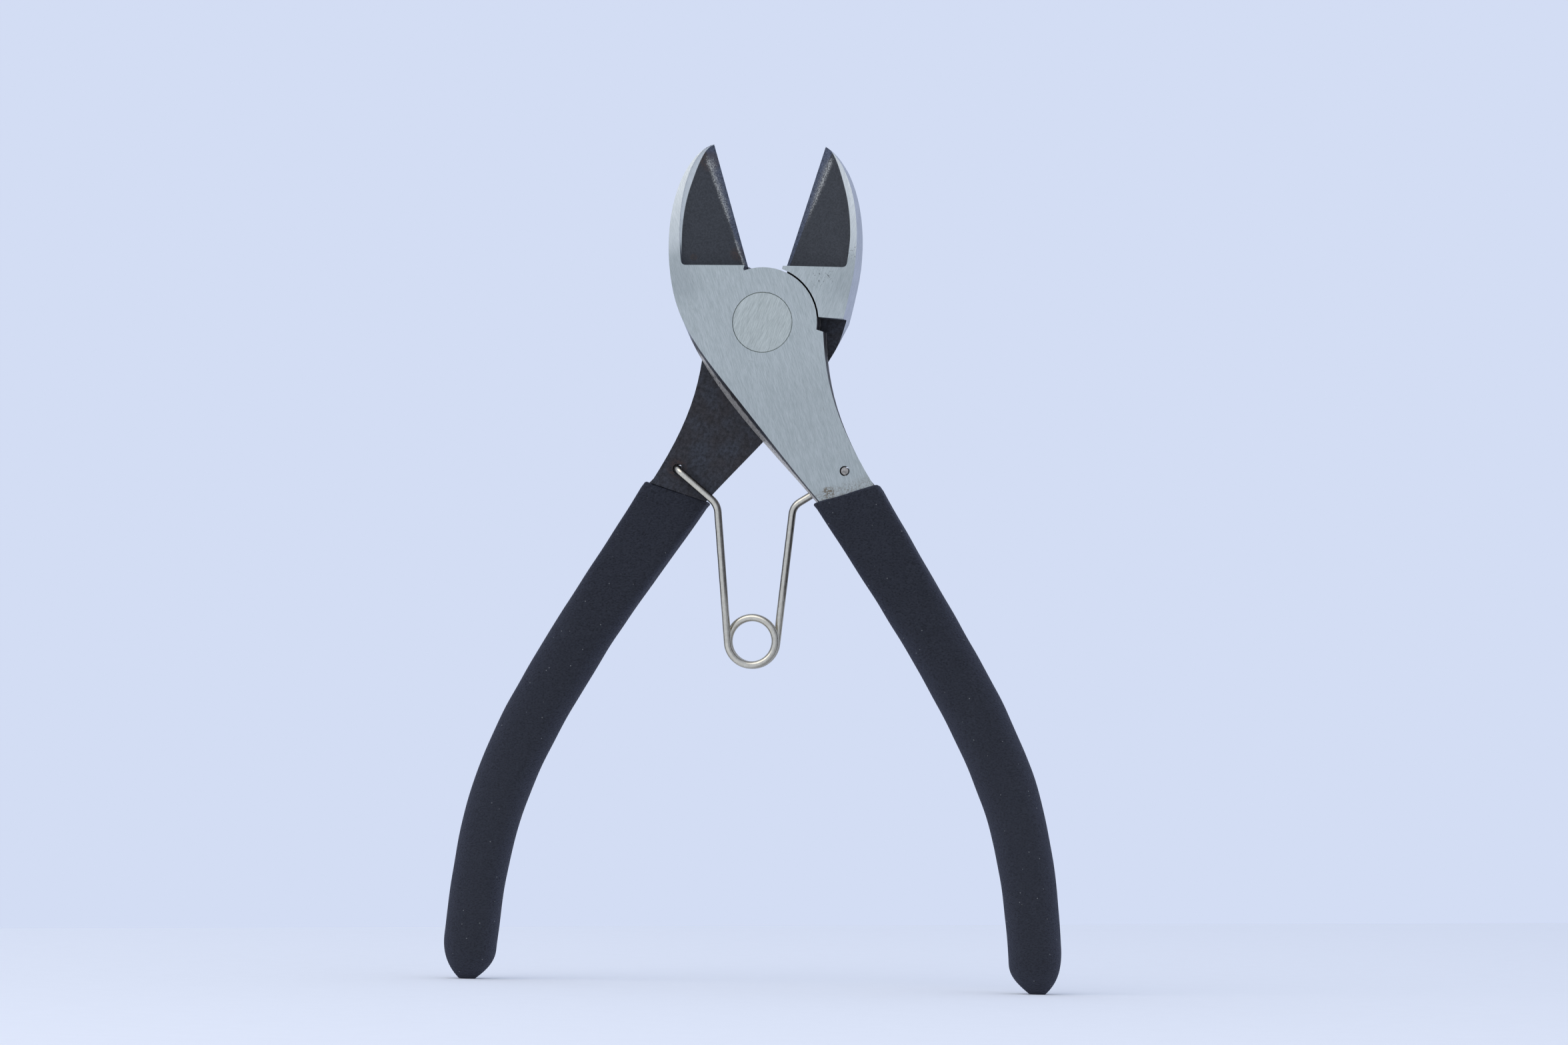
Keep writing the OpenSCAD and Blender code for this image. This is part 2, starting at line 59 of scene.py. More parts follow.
# Wear of each lever: the worn line of the blade at the pivot's height and its rise, bright stretches of it
# as the heights where they begin and are full, the least wear between them, the inner and outer limit of the
# ground rim, and pits and brown stains as places across, up and reach
LEVER_WEAR = {
    "front": {
        "line": (0.46, 0.040),
        "runs": [(19.5, 23.5), (18.8, 17.0)],
        "least": 0.35,
        "rim": (2.95, 0.4),
        "pits": [],
        "brown": [(-1.6, 34.5, 2.6), (-9.9, 16.7, 0.9), (-1.5, 15.0, 1.8)],
        "tang_stain": [(3.3, -36.5, 1.7)],
    },
    "rear": {
        "line": (0.0, 0.065),
        "runs": [(17.0, 29.0)],
        "least": 0.0,
        "rim": (2.75, 1.6),
        "pits": [(-8.6, 12.2, 2.8), (-12.4, 19.0, 2.4)],
        "brown": [],
        "tang_stain": [],
    },
}

# In all the looks below a colour has eight-bit screen values, a noise is given as its turns in a millimetre,
# its layers and their strength, and a span as the two values between which something comes on
NOISE_SPAN = (0.3, 0.7)

# Scratches from grinding, as a stretch along each axis, finer and broader ones mixed
FACE_STROKES = (6.5, 1.0, 0.55)
BACK_STROKES = (1.0, 6.5, 0.55)
FINE_STROKES = (1.0, 4.0, 0.7)
BROAD_STROKES = (1.0, 3.0, 0.5)
BROAD_STRETCH = 0.3
BROAD_SHARE = 0.2
STROKE_ROUGHNESS = (0.50, 0.36)
STEEL_RELIEF = 0.012

# Ground faces: a painted highlight on the nose, painted shade on the jaw's flank, darker on the tang, stains
# in patches, at the grip and on the tang
GROUND_DARK = (166, 173, 169)
GROUND_LIGHT = (194, 199, 194)
GROUND_DARKER = (120, 127, 128)
# Painted highlight on the nose
NOSE_PAINTED_HIGHLIGHT = (226, 226, 220)
NOSE_SPAN = (22.0, 33.0)
NOSE_HIGHLIGHT_STRENGTH = 0.28
# Painted shade on the jaw's flank; the tang is only a darker tone
FLANK_ACROSS = (-8.0, -13.0)
FLANK_TOP = (26.0, 16.0)
FLANK_FOOT = (7.0, 12.0)
FLANK_PAINTED_SHADE = 0.25
TANG_SPAN = (-6.0, -18.0)
TANG_DARKENING = 0.10
STAIN_PATCHES = (0.35, 4.0, 0.6)
STAIN_PATCH_SPAN = (0.58, 0.76)
STAIN_SPECKS = (3.0, 3.0, 0.7)
STAIN_SPECK_SPAN = (0.45, 0.7)
STAIN_GREY = (120, 121, 108)
STAIN_STRENGTH = 0.30
STAIN_BROWN = (108, 94, 72)
GRIP_STAIN_RISE = (3.0, 0.6)
GRIP_STAIN_SPAN = (0.40, 0.62)
GRIP_STAIN_STRENGTH = 0.45
TANG_STAIN_SPAN = (0.38, 0.58)
TANG_STAIN_STRENGTH = 0.85
PIT_NOISE = (2.4, 4.0, 0.7)
PIT_SPAN = (0.57, 0.66)
PIT_GREY = (88, 90, 88)

# Ground rim beside the hollow, which narrows to the tip, and the small step in it, both lightened with
# painted light against the hollow's shade
RIM_SPAN = (17.0, 21.0)
RIM_EDGE = (0.1, -0.1)
RIM_TIP_RUN = 7.0
# Painted light that lifts the rim and its step out of the hollow's shade
RIM_PAINTED_LIGHT = (232, 233, 230)
RIM_PAINTED_LIGHTNESS = 0.3
STEP_PAINTED_LIGHTNESS = 0.9

# Jaw's ground back, with a ragged lower end
BACK_DARK = (146, 151, 159)
BACK_LIGHT = (194, 198, 206)
BACK_END_NOISE = (0.6, 4.0, 0.6)
BACK_END_REACH = 3.0
BACK_END = (1.5, 5.5)
BACK_MOST_X = -1.5

# Oxide from forging, rusty at the hook's hole
OXIDE_BROWN = (53, 49, 50)
OXIDE_GREY = (59, 62, 69)
OXIDE_BLACK = (14, 13, 14)
OXIDE_PATCHES = (0.16, 4.0, 0.6)
OXIDE_PATCH_SPAN = (0.35, 0.65)
OXIDE_MOTTLE = (1.3, 5.0, 0.75)
OXIDE_MOTTLE_DEPTH = 0.9
OXIDE_GRAINS = (5.0, 3.0, 0.7)
OXIDE_ROUGHNESS = 0.62
OXIDE_SPECULAR = 0.3
RUST = (58, 41, 33)
RUST_REACH = 2.6
RUST_SPAN = (0.35, 0.7)
RUST_STRENGTH = 0.7

# Jaw's hollow: dark floor, bluish bevel, and pale grains along the worn ridge between them
HOLLOW_DARK = (40, 42, 44)
HOLLOW_LIGHT = (67, 69, 72)
HOLLOW_BROWN = (70, 54, 44)
HOLLOW_BROWN_SPAN = (0.0, 0.8)
HOLLOW_BROWN_STRENGTH = 0.6
HOLLOW_SPECKLE = (2.8, 5.0, 0.8)
HOLLOW_SPECKLE_SPAN = (0.34, 0.66)
HOLLOW_CLOUDS = (0.5, 3.0, 0.6)
HOLLOW_CLOUD_SHARE = 0.3
BEVEL_DARK = (44, 49, 61)
BEVEL_LIGHT = (92, 99, 114)
WORN_GREY = (100, 99, 97)
WORN_GREY_STRENGTH = 0.4
WORN_BARE = (164, 164, 158)
WORN_BARE_SPAN = (0.95, 1.8)
WORN_GRAINS = (4.2, 3.0, 0.7)
WORN_GRAIN_SPAN = (0.32, 0.68)
WEAR_SPREAD = 0.056
WEAR_AT_PIVOT = -0.15
WEAR_FLOOR_LIMIT = 2.2
WEAR_TIP_SPAN = (JAW_LEN - 0.8, JAW_LEN - 3.5)
RIDGE_WOBBLE = 0.5
RIDGE_NOISE = (0.5, 3.0, 0.6)

# Stripe where the forging's flash was trimmed: its depth from the lap on the tang's inner and outer side
TRIMMED_DARK = (148, 143, 136)
TRIMMED_LIGHT = (226, 220, 210)
TRIMMED_GRAIN_SPAN = (0.35, 0.65)
TRIMMED_INSIDE = (4.5, 3.3)
TRIMMED_OUTSIDE = (0.95, 0.65)
TRIMMED_OUTSIDE_STRENGTH = 0.4
TRIMMED_TOP = (-0.5, -4.0)
TRIMMED_NOISE = (1.2, 4.0, 0.6)
TRIMMED_RAGGEDNESS = 2.0
TRIMMED_BREAKS = (0.7, 4.0, 0.7)
TRIMMED_BREAK_SPAN = (0.30, 0.44)
TRIMMED_METAL = 0.6

# Rivet, ground across the levers' scratches
RIVET_DARK = (166, 172, 166)
RIVET_LIGHT = (201, 206, 198)
RIVET_ROUGHNESS = (0.52, 0.36)
RIVET_RELIEF = 0.015
RIVET_GRIND_TURN = 20

# Grip: level sections along one curve, and the dipped layer's own sizes
GRIP_CURVE = [(6.5, -GRIP_TOP), (22.9, -100.0), (24.3, -104.0), (15.0, -143.6)]
GRIP_TOP_W = 13.8
GRIP_W = 12.4
GRIP_END_W = 11.0
GRIP_T = 9.4
HAND_RUN = 36.0
COAT = 1.0
GRIP_PASS_GAP = 0.3
GRIP_END_ROUND = 8.0
GRIP_FOOT_W = 3.2
GRIP_END_FULLNESS = 2.4
ROOT_SQUARENESS = 7.0
HAND_SQUARENESS = 2.6
GRIP_RINGS = 130
GRIP_END_RINGS = 16
GRIP_SIDES = 64
GRIP_LIP = 0.45
GRIP_LIP_RINGS = 5
GRIP_LIP_DEPTH = 3 * GRIP_LIP
GRIP_SEAT = 0.05
GRIP_WAVE = 0.14
GRIP_WAVE_LENGTH = 7.5
GRIP_WAVE_INSET = 0.12
GRIP_SEED_STEP = 7.0
TOP_WAVE = 0.25
TOP_WAVE_LENGTH = 3.5
TOP_WAVE_RUN = 3.0

# Foam of the grips, a little faded towards the feet
FOAM_DARK = (19, 20, 22)
FOAM_LIGHT = (55, 57, 62)
FOAM_FADED = (100, 102, 110)
FOAM_FADED_HEIGHTS = (85.0, 25.0)
FOAM_FADING = 0.07
FOAM_STRETCH = (2.2, 2.2, 4.0)
FOAM_GRAIN = (1.0, 5.0, 0.7)
FOAM_GRAIN_SPAN = (0.32, 0.68)
FOAM_LUMPS = (0.22, 3.0, 0.5)
FOAM_LUMP_SHARE = 0.25
FOAM_RELIEF_SHARE = 0.3
FOAM_RELIEF = 0.22
FOAM_ROUGHNESS = 0.85
FOAM_SPECULAR = 0.25
FOAM_SHEEN = 0.22
FOAM_SHEEN_ROUGHNESS = 0.5
FOAM_SHEEN_TINT = (176, 182, 220)
DUST = (165, 165, 160)
DUST_STRENGTH = 0.6
DUST_SPREAD = 0.5
DUST_REACH = 0.055

# Spring wire at rest, about the coil's own upright axis, which stands a little left of the pivot
WIRE_D = 1.5
WIRE_GAP = 0.46
COIL_R = 4.75
COIL_Z = 63.6
COIL_FULL_TURNS = 1
COIL_MIDDLE_ANGLE = 270 + 180 * COIL_FULL_TURNS
SPRING_SHIFT = 1.3
KNEE = (-7.45, -36.4)
KNEE_BEND = 1.6
HOOK_BEND = 1.5
HOOK_END_INSET = 0.1
WIRE_SIDES = 16
BEND_STEPS = 8
COIL_STEPS = 60
LEG_STEPS = 6
SAME_SHARE = 1e-6

# Nickel of the wire: a painted highlight down its core, turned a little to the left, painted shade on the
# flanks beside it, and dull cut ends
NICKEL_DARK = (205, 198, 180)
NICKEL_LIGHT = (219, 213, 195)
NICKEL_MOTTLE = (1.4, 4.0, 0.6)
NICKEL_ROUGHNESS = 0.22
# Painted shade on the wire's flanks, and below it the turn of the painted highlight
FLANK_SHADE_DARK = (101, 96, 88)
FLANK_SHADE_LIGHT = (118, 113, 105)
FLANK_SHADE_SPAN = (0.04, 0.36)
FLANK_SHADE_UPRIGHT_SHARE = 0.35
COIL_FLANK_SHADE = 0.55
LEG_SPAN = (-58.0, -52.0)
WIRE_HIGHLIGHT_TURN = 0.18
SHEARED_DARK = (126, 122, 116)
SHEARED_LIGHT = (182, 177, 168)
SHEARED_ROUGHNESS = 0.5
SHEARED_SKIN = 0.02

# Camera, fitted to the photograph
IMAGE_W = 2352
IMAGE_H = 1568
CAMERA_TARGET = (4.58, 0.0, 92.73)
CAMERA_DISTANCE = 1500.0
CAMERA_TURN = 8.0
CAMERA_RISE = -1.58
CAMERA_ROLL = 1.33
CAMERA_LENS = 172.37
CAMERA_FAR_M = 20
SENSOR_W = 36.0

# Stage: the floor ends behind the tool where the photograph's floor meets its wall
SEAM_ROW_LEFT = 1393
SEAM_ROW_RIGHT = 1385
FLOOR_REACH = 4.0
FLOOR_FRONT = 1800.0
WALL_COLOUR = (211, 221, 244)
FLOOR_COLOUR = (244, 245, 246)
FLOOR_FIBRES = (0.15, 4.0, 0.6)
FLOOR_FIBRE_DEPTH = 4
FLOOR_ROUGHNESS = 0.9
FLOOR_SPECULAR = 0.1
KEY_PLACE = (-0.5, -0.9, 1.1)
KEY_AIM = (0, 0, 0.08)
KEY_SIZE = 1.4
KEY_POWER = 5.0
KEY_COLOUR = (255, 251, 245)


def linear(colour):
    """A colour of eight-bit screen values as the linear values that shaders use."""
    return [((c / 255 + 0.055) / 1.055) ** 2.4 if c > 10 else c / 255 / 12.92 for c in colour] + [1.0]


def smooth(t):
    u = min(1.0, max(0.0, t))
    return u * u * (3 - 2 * u)


def mix(a, b, t):
    return a + (b - a) * t


def bezier3(points, t):
    weights = ((1 - t) ** 3, 3 * t * (1 - t) ** 2, 3 * t * t * (1 - t), t**3)
    return [sum(w * p[k] for w, p in zip(weights, points)) for k in range(2)]


def bezier2(points, t):
    weights = ((1 - t) ** 2, 2 * t * (1 - t), t * t)
    return sum((w * p for w, p in zip(weights, points)), Vector((0, 0)))


def signed_power(value, power):
    return math.copysign(abs(value) ** power, value)


def lever_pose(pivot, side):
    """Where a lever drawn with its blade upright stands at rest: side 1 is the front lever, -1 the rear."""
    half_turn = Matrix.Rotation(0 if side > 0 else math.pi, 4, "Z")
    swing = Matrix.Rotation(-side * math.radians(REST_HALF_ANGLE), 4, "Y")
    return Matrix.Translation(pivot) @ swing @ half_turn


class Shader:
    """One material and short calls for its nodes. An input is a value, a screen colour or a node's socket."""

    def __init__(self, name):
        self.material = bpy.data.materials.new(name)
        self.material.use_nodes = True
        self.tree = self.material.node_tree
        self.tree.nodes.clear()
        self.surface = self.node("ShaderNodeBsdfPrincipled")
        output = self.node("ShaderNodeOutputMaterial")
        self.tree.links.new(self.surface.outputs[0], output.inputs["Surface"])

    def node(self, kind, **settings):
        made = self.tree.nodes.new(kind)
        for key, value in settings.items():
            setattr(made, key, value)
        return made

    def feed(self, socket, source):
        if isinstance(source, bpy.types.NodeSocket):
            self.tree.links.new(source, socket)
        elif isinstance(source, tuple):
            socket.default_value = linear(source)
        else:
            socket.default_value = source

    def set(self, **inputs):
        """Feeds the surface's inputs, with words joined by underscores."""
        for key, source in inputs.items():
            self.feed(self.surface.inputs[key.replace("_", " ")], source)

    def math(self, operation, *sources, clamp=False):
        made = self.node("ShaderNodeMath", operation=operation, use_clamp=clamp)
        for socket, source in zip(made.inputs, sources):
            self.feed(socket, source)
        return made.outputs[0]

    def both(self, *masks):
        """A mask that is on where all the given ones are."""
        out = masks[0]
        for mask in masks[1:]:
            out = self.math("MULTIPLY", out, mask)
        return out

    def either(self, *masks):
        """A mask that is on where any of the given ones is."""
        out = masks[0]
        for mask in masks[1:]:
            out = self.math("MAXIMUM", out, mask)
        return out

    def band(self, source, low, high):
        """Runs smoothly from 0 at low to 1 at high, or the other way where low is the larger."""
        made = self.node("ShaderNodeMapRange", interpolation_type="SMOOTHSTEP")
        flip = low > high
        self.feed(made.inputs["Value"], source)
        self.feed(made.inputs["From Min"], min(low, high))
        self.feed(made.inputs["From Max"], max(low, high))
        self.feed(made.inputs["To Min"], float(flip))
        self.feed(made.inputs["To Max"], float(not flip))
        return made.outputs[0]

    def near(self, first, second, spot, reach):
        """On close to a spot given by its two coordinates, and off beyond the reach."""
        away = [self.math("SUBTRACT", a, b) for a, b in zip((first, second), spot)]
        squares = [self.math("POWER", a, 2.0) for a in away]
        distance = self.math("SQRT", self.math("ADD", *squares))
        return self.band(distance, reach, reach / 2)

    def colours(self, factor, a, b):
        made = self.node("ShaderNodeMix", data_type="RGBA")
        for key, source in ((0, factor), (6, a), (7, b)):
            self.feed(made.inputs[key], source)
        return made.outputs[2]

    def values(self, factor, a, b):
        made = self.node("ShaderNodeMix", data_type="FLOAT")
        for key, source in ((0, factor), (2, a), (3, b)):
            self.feed(made.inputs[key], source)
        return made.outputs[0]

    def place(self, pose=None):
        """Object coordinates in millimetres, turned into the frame that the pose came from."""
        spot = self.node("ShaderNodeTexCoord").outputs["Object"]
        if pose is not None:
            turn = self.node("ShaderNodeMapping")
            back = pose.inverted()
            turn.inputs["Location"].default_value = back.to_translation()
            turn.inputs["Rotation"].default_value = back.to_euler()
            self.feed(turn.inputs["Vector"], spot)
            spot = turn.outputs[0]
        scaled = self.node("ShaderNodeVectorMath", operation="SCALE")
        self.feed(scaled.inputs[0], spot)
        scaled.inputs["Scale"].default_value = 1 / MM
        return scaled.outputs[0]

    def split(self, vector):
        made = self.node("ShaderNodeSeparateXYZ")
        self.feed(made.inputs[0], vector)
        return made.outputs[0], made.outputs[1], made.outputs[2]

    def stretched(self, vector, factors):
        made = self.node("ShaderNodeVectorMath", operation="MULTIPLY")
        self.feed(made.inputs[0], vector)
        made.inputs[1].default_value = factors
        return made.outputs[0]

    def noise(self, vector, kind):
        """Noise of a kind that is given as its turns in a millimetre, its layers and their strength."""
        made = self.node("ShaderNodeTexNoise")
        self.feed(made.inputs["Vector"], vector)
        for key, value in zip(("Scale", "Detail", "Roughness"), kind):
            made.inputs[key].default_value = value
        return made.outputs[0]

    def grains(self, vector, kind, span):
        """Noise that comes on between the two values of the span."""
        return self.band(self.noise(vector, kind), *span)

    def scattered(self, vector, spread, reach):
        """On close to points that are scattered in space, as often in a millimetre as the spread says."""
        made = self.node("ShaderNodeTexVoronoi")
        self.feed(made.inputs["Vector"], vector)
        made.inputs["Scale"].default_value = spread
        return self.math("LESS_THAN", made.outputs["Distance"], reach)

    def bump(self, height, distance):
        """Relief whose full height is the given number of millimetres."""
        made = self.node("ShaderNodeBump")
        made.inputs["Strength"].default_value = 1.0
        made.inputs["Distance"].default_value = distance * MM
        self.feed(made.inputs["Height"], height)
        return made.outputs[0]


def grinding_strokes(shader, spot, stretch):
    """Short fine scratches that run along the upright axis, between 0 and 1."""
    fine = shader.noise(shader.stretched(spot, stretch), FINE_STROKES)
    broad = shader.noise(shader.stretched(spot, [BROAD_STRETCH * s for s in stretch]), BROAD_STROKES)
    return shader.band(shader.values(BROAD_SHARE, fine, broad), *NOISE_SPAN)


def spots(shader, spot, places):
    """On at each of the places, which are given across, up and with their reach."""
    x, _, z = shader.split(spot)
    return shader.either(0.0, *(shader.near(x, z, (across, up), reach) for across, up, reach in places))


def ground_mask(shader, depth, z):
    """On in the ground faces, which sink along a wide arc from the pivot's height to the nose."""
    drop = HALF_T - NOSE_HALF_T
    run = JAW_LEN - NOSE_START
    arc_r = (run**2 + drop**2) / (2 * drop)
    along = shader.math("MAXIMUM", shader.math("SUBTRACT", z, NOSE_START), 0.0)
    sunk = shader.math("DIVIDE", shader.math("POWER", along, 2.0), 2 * arc_r)
    below = shader.math("SUBTRACT", shader.math("SUBTRACT", HALF_T, sunk), depth)
    return shader.math("LESS_THAN", below, GROUND_SKIN)


def brown_stain(shader, spot, specks, tang_stain):
    """Brown close above the grip's edge and at the tang's own stains, broken into specks."""
    _, _, z = shader.split(spot)
    at_grip = shader.band(z, *(rise - GRIP_TOP for rise in GRIP_STAIN_RISE))
    at_grip = shader.both(at_grip, shader.band(specks, *GRIP_STAIN_SPAN), GRIP_STAIN_STRENGTH)
    on_tang = shader.both(spots(shader, spot, tang_stain), shader.band(specks, *TANG_STAIN_SPAN))
    return shader.either(at_grip, shader.both(on_tang, TANG_STAIN_STRENGTH))


def ground_steel(shader, spot, strokes, tang_stain):
    """Pale ground steel with a painted highlight at the nose, painted shade on the jaw's flank and darker on
    the tang, stained in places.
    """
    x, _, z = shader.split(spot)
    specks = shader.noise(spot, STAIN_SPECKS)
    stain = shader.grains(spot, STAIN_PATCHES, STAIN_PATCH_SPAN)
    stain = shader.both(stain, shader.band(specks, *STAIN_SPECK_SPAN), STAIN_STRENGTH)
    # Painted shade on the jaw's flank and a darker tone on the tang
    flank = shader.both(shader.band(z, *FLANK_TOP), shader.band(z, *FLANK_FOOT))
    flank = shader.both(shader.band(x, *FLANK_ACROSS), flank)
    tang = shader.band(z, *TANG_SPAN)
    darkened = shader.either(shader.both(flank, FLANK_PAINTED_SHADE), shader.both(tang, TANG_DARKENING))
    colour = shader.colours(strokes, GROUND_DARK, GROUND_LIGHT)
    # Painted highlight on the nose
    colour = shader.colours(shader.both(shader.band(z, *NOSE_SPAN), NOSE_HIGHLIGHT_STRENGTH), colour, NOSE_PAINTED_HIGHLIGHT)
    colour = shader.colours(darkened, colour, GROUND_DARKER)
    colour = shader.colours(stain, colour, STAIN_GREY)
    return shader.colours(brown_stain(shader, spot, specks, tang_stain), colour, STAIN_BROWN)


def nose_rim(shader, spot, wall, rim):
    """On in the hollow's outer margin towards the nose, where grinding has run over its edge."""
    x, _, z = shader.split(spot)
    inner, outer = rim
    up = shader.math("DIVIDE", shader.math("SUBTRACT", z, JAW_WIDEST_Z), JAW_LEN - JAW_WIDEST_Z)
    up = shader.math("POWER", shader.math("MAXIMUM", up, 0.0), JAW_FULLNESS)
    outline = shader.math("MAXIMUM", shader.math("SUBTRACT", 1.0, up), 0.0)
    outline = shader.math("POWER", outline, 1 / JAW_FULLNESS)
    margin = shader.math("ADD", shader.math("MULTIPLY", outline, JAW_W), x)
    to_tip = shader.math("DIVIDE", shader.math("SUBTRACT", JAW_LEN, z), RIM_TIP_RUN, clamp=True)
    width = shader.math("SQRT", shader.math("MULTIPLY", to_tip, shader.math("SUBTRACT", 2.0, to_tip)))
    beyond = shader.math("SUBTRACT", margin, shader.math("MULTIPLY", width, inner))
    open_face = shader.math("SUBTRACT", 1.0, wall)
    off_back = shader.either(open_face, shader.math("GREATER_THAN", margin, outer))
    return shader.both(shader.band(beyond, *RIM_EDGE), off_back, shader.band(z, *RIM_SPAN))


def bright_steel(shader, spot, strokes, wear, rim, step):
    """The ground faces with their pits, and the rim beside the hollow, with painted light on the rim and its
    step against their shade.
    """
    pits = shader.both(spots(shader, spot, wear["pits"]), shader.grains(spot, PIT_NOISE, PIT_SPAN))
    colour = shader.colours(pits, ground_steel(shader, spot, strokes, wear["tang_stain"]), PIT_GREY)
    # Painted light on the rim and its step, against the shade in the hollow
    painted_light = shader.either(shader.both(rim, RIM_PAINTED_LIGHTNESS), shader.both(step, STEP_PAINTED_LIGHTNESS))
    return shader.colours(painted_light, colour, RIM_PAINTED_LIGHT)


def forged_oxide(shader, spot):
    """Dark scale left from forging: brownish, greyer in patches, finely mottled, rusty at the hook's hole."""
    patches = shader.grains(spot, OXIDE_PATCHES, OXIDE_PATCH_SPAN)
    mottle = shader.grains(spot, OXIDE_MOTTLE, NOISE_SPAN)
    colour = shader.colours(patches, OXIDE_BROWN, OXIDE_GREY)
    colour = shader.colours(mottle, shader.colours(OXIDE_MOTTLE_DEPTH, colour, OXIDE_BLACK), colour)
    at_hole = spots(shader, spot, [(*HOOK_HOLE, RUST_REACH)])
    rust = shader.both(at_hole, shader.band(mottle, *RUST_SPAN), RUST_STRENGTH)
    return shader.colours(rust, colour, RUST)


def worn_ridge(shader, spot, wear):
    """How strongly the blade's ridge is worn: most on its line, in a wider scatter towards the nose."""
    x, _, z = shader.split(spot)
    at_pivot, rise = wear["line"]
    line = shader.math("ADD", shader.math("MULTIPLY", z, rise), at_pivot)
    wobble = shader.math("SUBTRACT", shader.noise(spot, RIDGE_NOISE), 0.5)
    wobble = shader.math("MULTIPLY", wobble, RIDGE_WOBBLE)
    to_edge = shader.math("ADD", shader.math("ADD", x, line), wobble)
    off_line = shader.math("MAXIMUM", to_edge, shader.math("MULTIPLY", to_edge, -WEAR_FLOOR_LIMIT))
    reach = shader.math("ADD", shader.math("MULTIPLY", z, WEAR_SPREAD), WEAR_AT_PIVOT)
    close = shader.math("SUBTRACT", 1.0, shader.math("DIVIDE", off_line, reach), clamp=True)
    along = shader.either(wear["least"], *(shader.band(z, low, high) for low, high in wear["runs"]))
    return shader.both(close, along, shader.band(z, *WEAR_TIP_SPAN))


def hollow_steel(shader, spot, facing, wear):
    """The jaw's hollow: dull dark floor, bluish bevel at the cutting edge, worn pale grains between them."""
    x, _, _ = shader.split(spot)
    speckle = shader.grains(spot, HOLLOW_SPECKLE, HOLLOW_SPECKLE_SPAN)
    clouded = shader.values(HOLLOW_CLOUD_SHARE, speckle, shader.noise(spot, HOLLOW_CLOUDS))
    worn = worn_ridge(shader, spot, wear)
    grains = shader.grains(spot, WORN_GRAINS, WORN_GRAIN_SPAN)
    bare = shader.band(shader.math("ADD", grains, worn), *WORN_BARE_SPAN)
    brown = shader.both(spots(shader, spot, wear["brown"]), shader.band(speckle, *HOLLOW_BROWN_SPAN))
    sloped = shader.math("LESS_THAN", facing, HOLLOW_FLOOR_FACING)
    bevel = shader.both(sloped, shader.math("GREATER_THAN", x, BEVEL_LEAST_X))
    floor = shader.colours(clouded, HOLLOW_DARK, HOLLOW_LIGHT)
    colour = shader.colours(bevel, floor, shader.colours(speckle, BEVEL_DARK, BEVEL_LIGHT))
    colour = shader.colours(shader.both(brown, HOLLOW_BROWN_STRENGTH), colour, HOLLOW_BROWN)
    colour = shader.colours(shader.both(worn, WORN_GREY_STRENGTH), colour, WORN_GREY)
    return shader.colours(bare, colour, WORN_BARE)


def dark_steel(shader, spot, facing, wear):
    """Oxide all over, but for the jaw's hollow."""
    x, _, z = shader.split(spot)
    above = shader.math("GREATER_THAN", z, HOLLOW_LEAST_Z)
    in_hollow = shader.both(above, shader.math("LESS_THAN", x, BLADE_MOST_X))
    return shader.colours(in_hollow, forged_oxide(shader, spot), hollow_steel(shader, spot, facing, wear))


def back_mask(shader, spot, wall):
    """On in the jaw's ground back, with a ragged lower end."""
    x, _, z = shader.split(spot)
    wander = shader.math("MULTIPLY", shader.noise(spot, BACK_END_NOISE), BACK_END_REACH)
    above = shader.band(shader.math("ADD", z, wander), *BACK_END)
    return shader.both(wall, above, shader.math("LESS_THAN", x, BACK_MOST_X))


def trimmed_mask(shader, spot, depth, wall):
    """On where the forging's flash was trimmed: broad and ragged on the tang's inner side, narrow outside."""
    x, _, z = shader.split(spot)
    inner = shader.math("LESS_THAN", x, shader.math("MULTIPLY", z, -TANG_LEAN))
    wander = shader.math("MULTIPLY", shader.noise(spot, TRIMMED_NOISE), TRIMMED_RAGGEDNESS)
    unbroken = shader.grains(spot, TRIMMED_BREAKS, TRIMMED_BREAK_SPAN)
    broad = shader.both(inner, shader.band(shader.math("ADD", depth, wander), *TRIMMED_INSIDE))
    narrow = shader.both(shader.band(depth, *TRIMMED_OUTSIDE), TRIMMED_OUTSIDE_STRENGTH)
    return shader.both(wall, shader.either(broad, narrow), unbroken, shader.band(z, *TRIMMED_TOP))


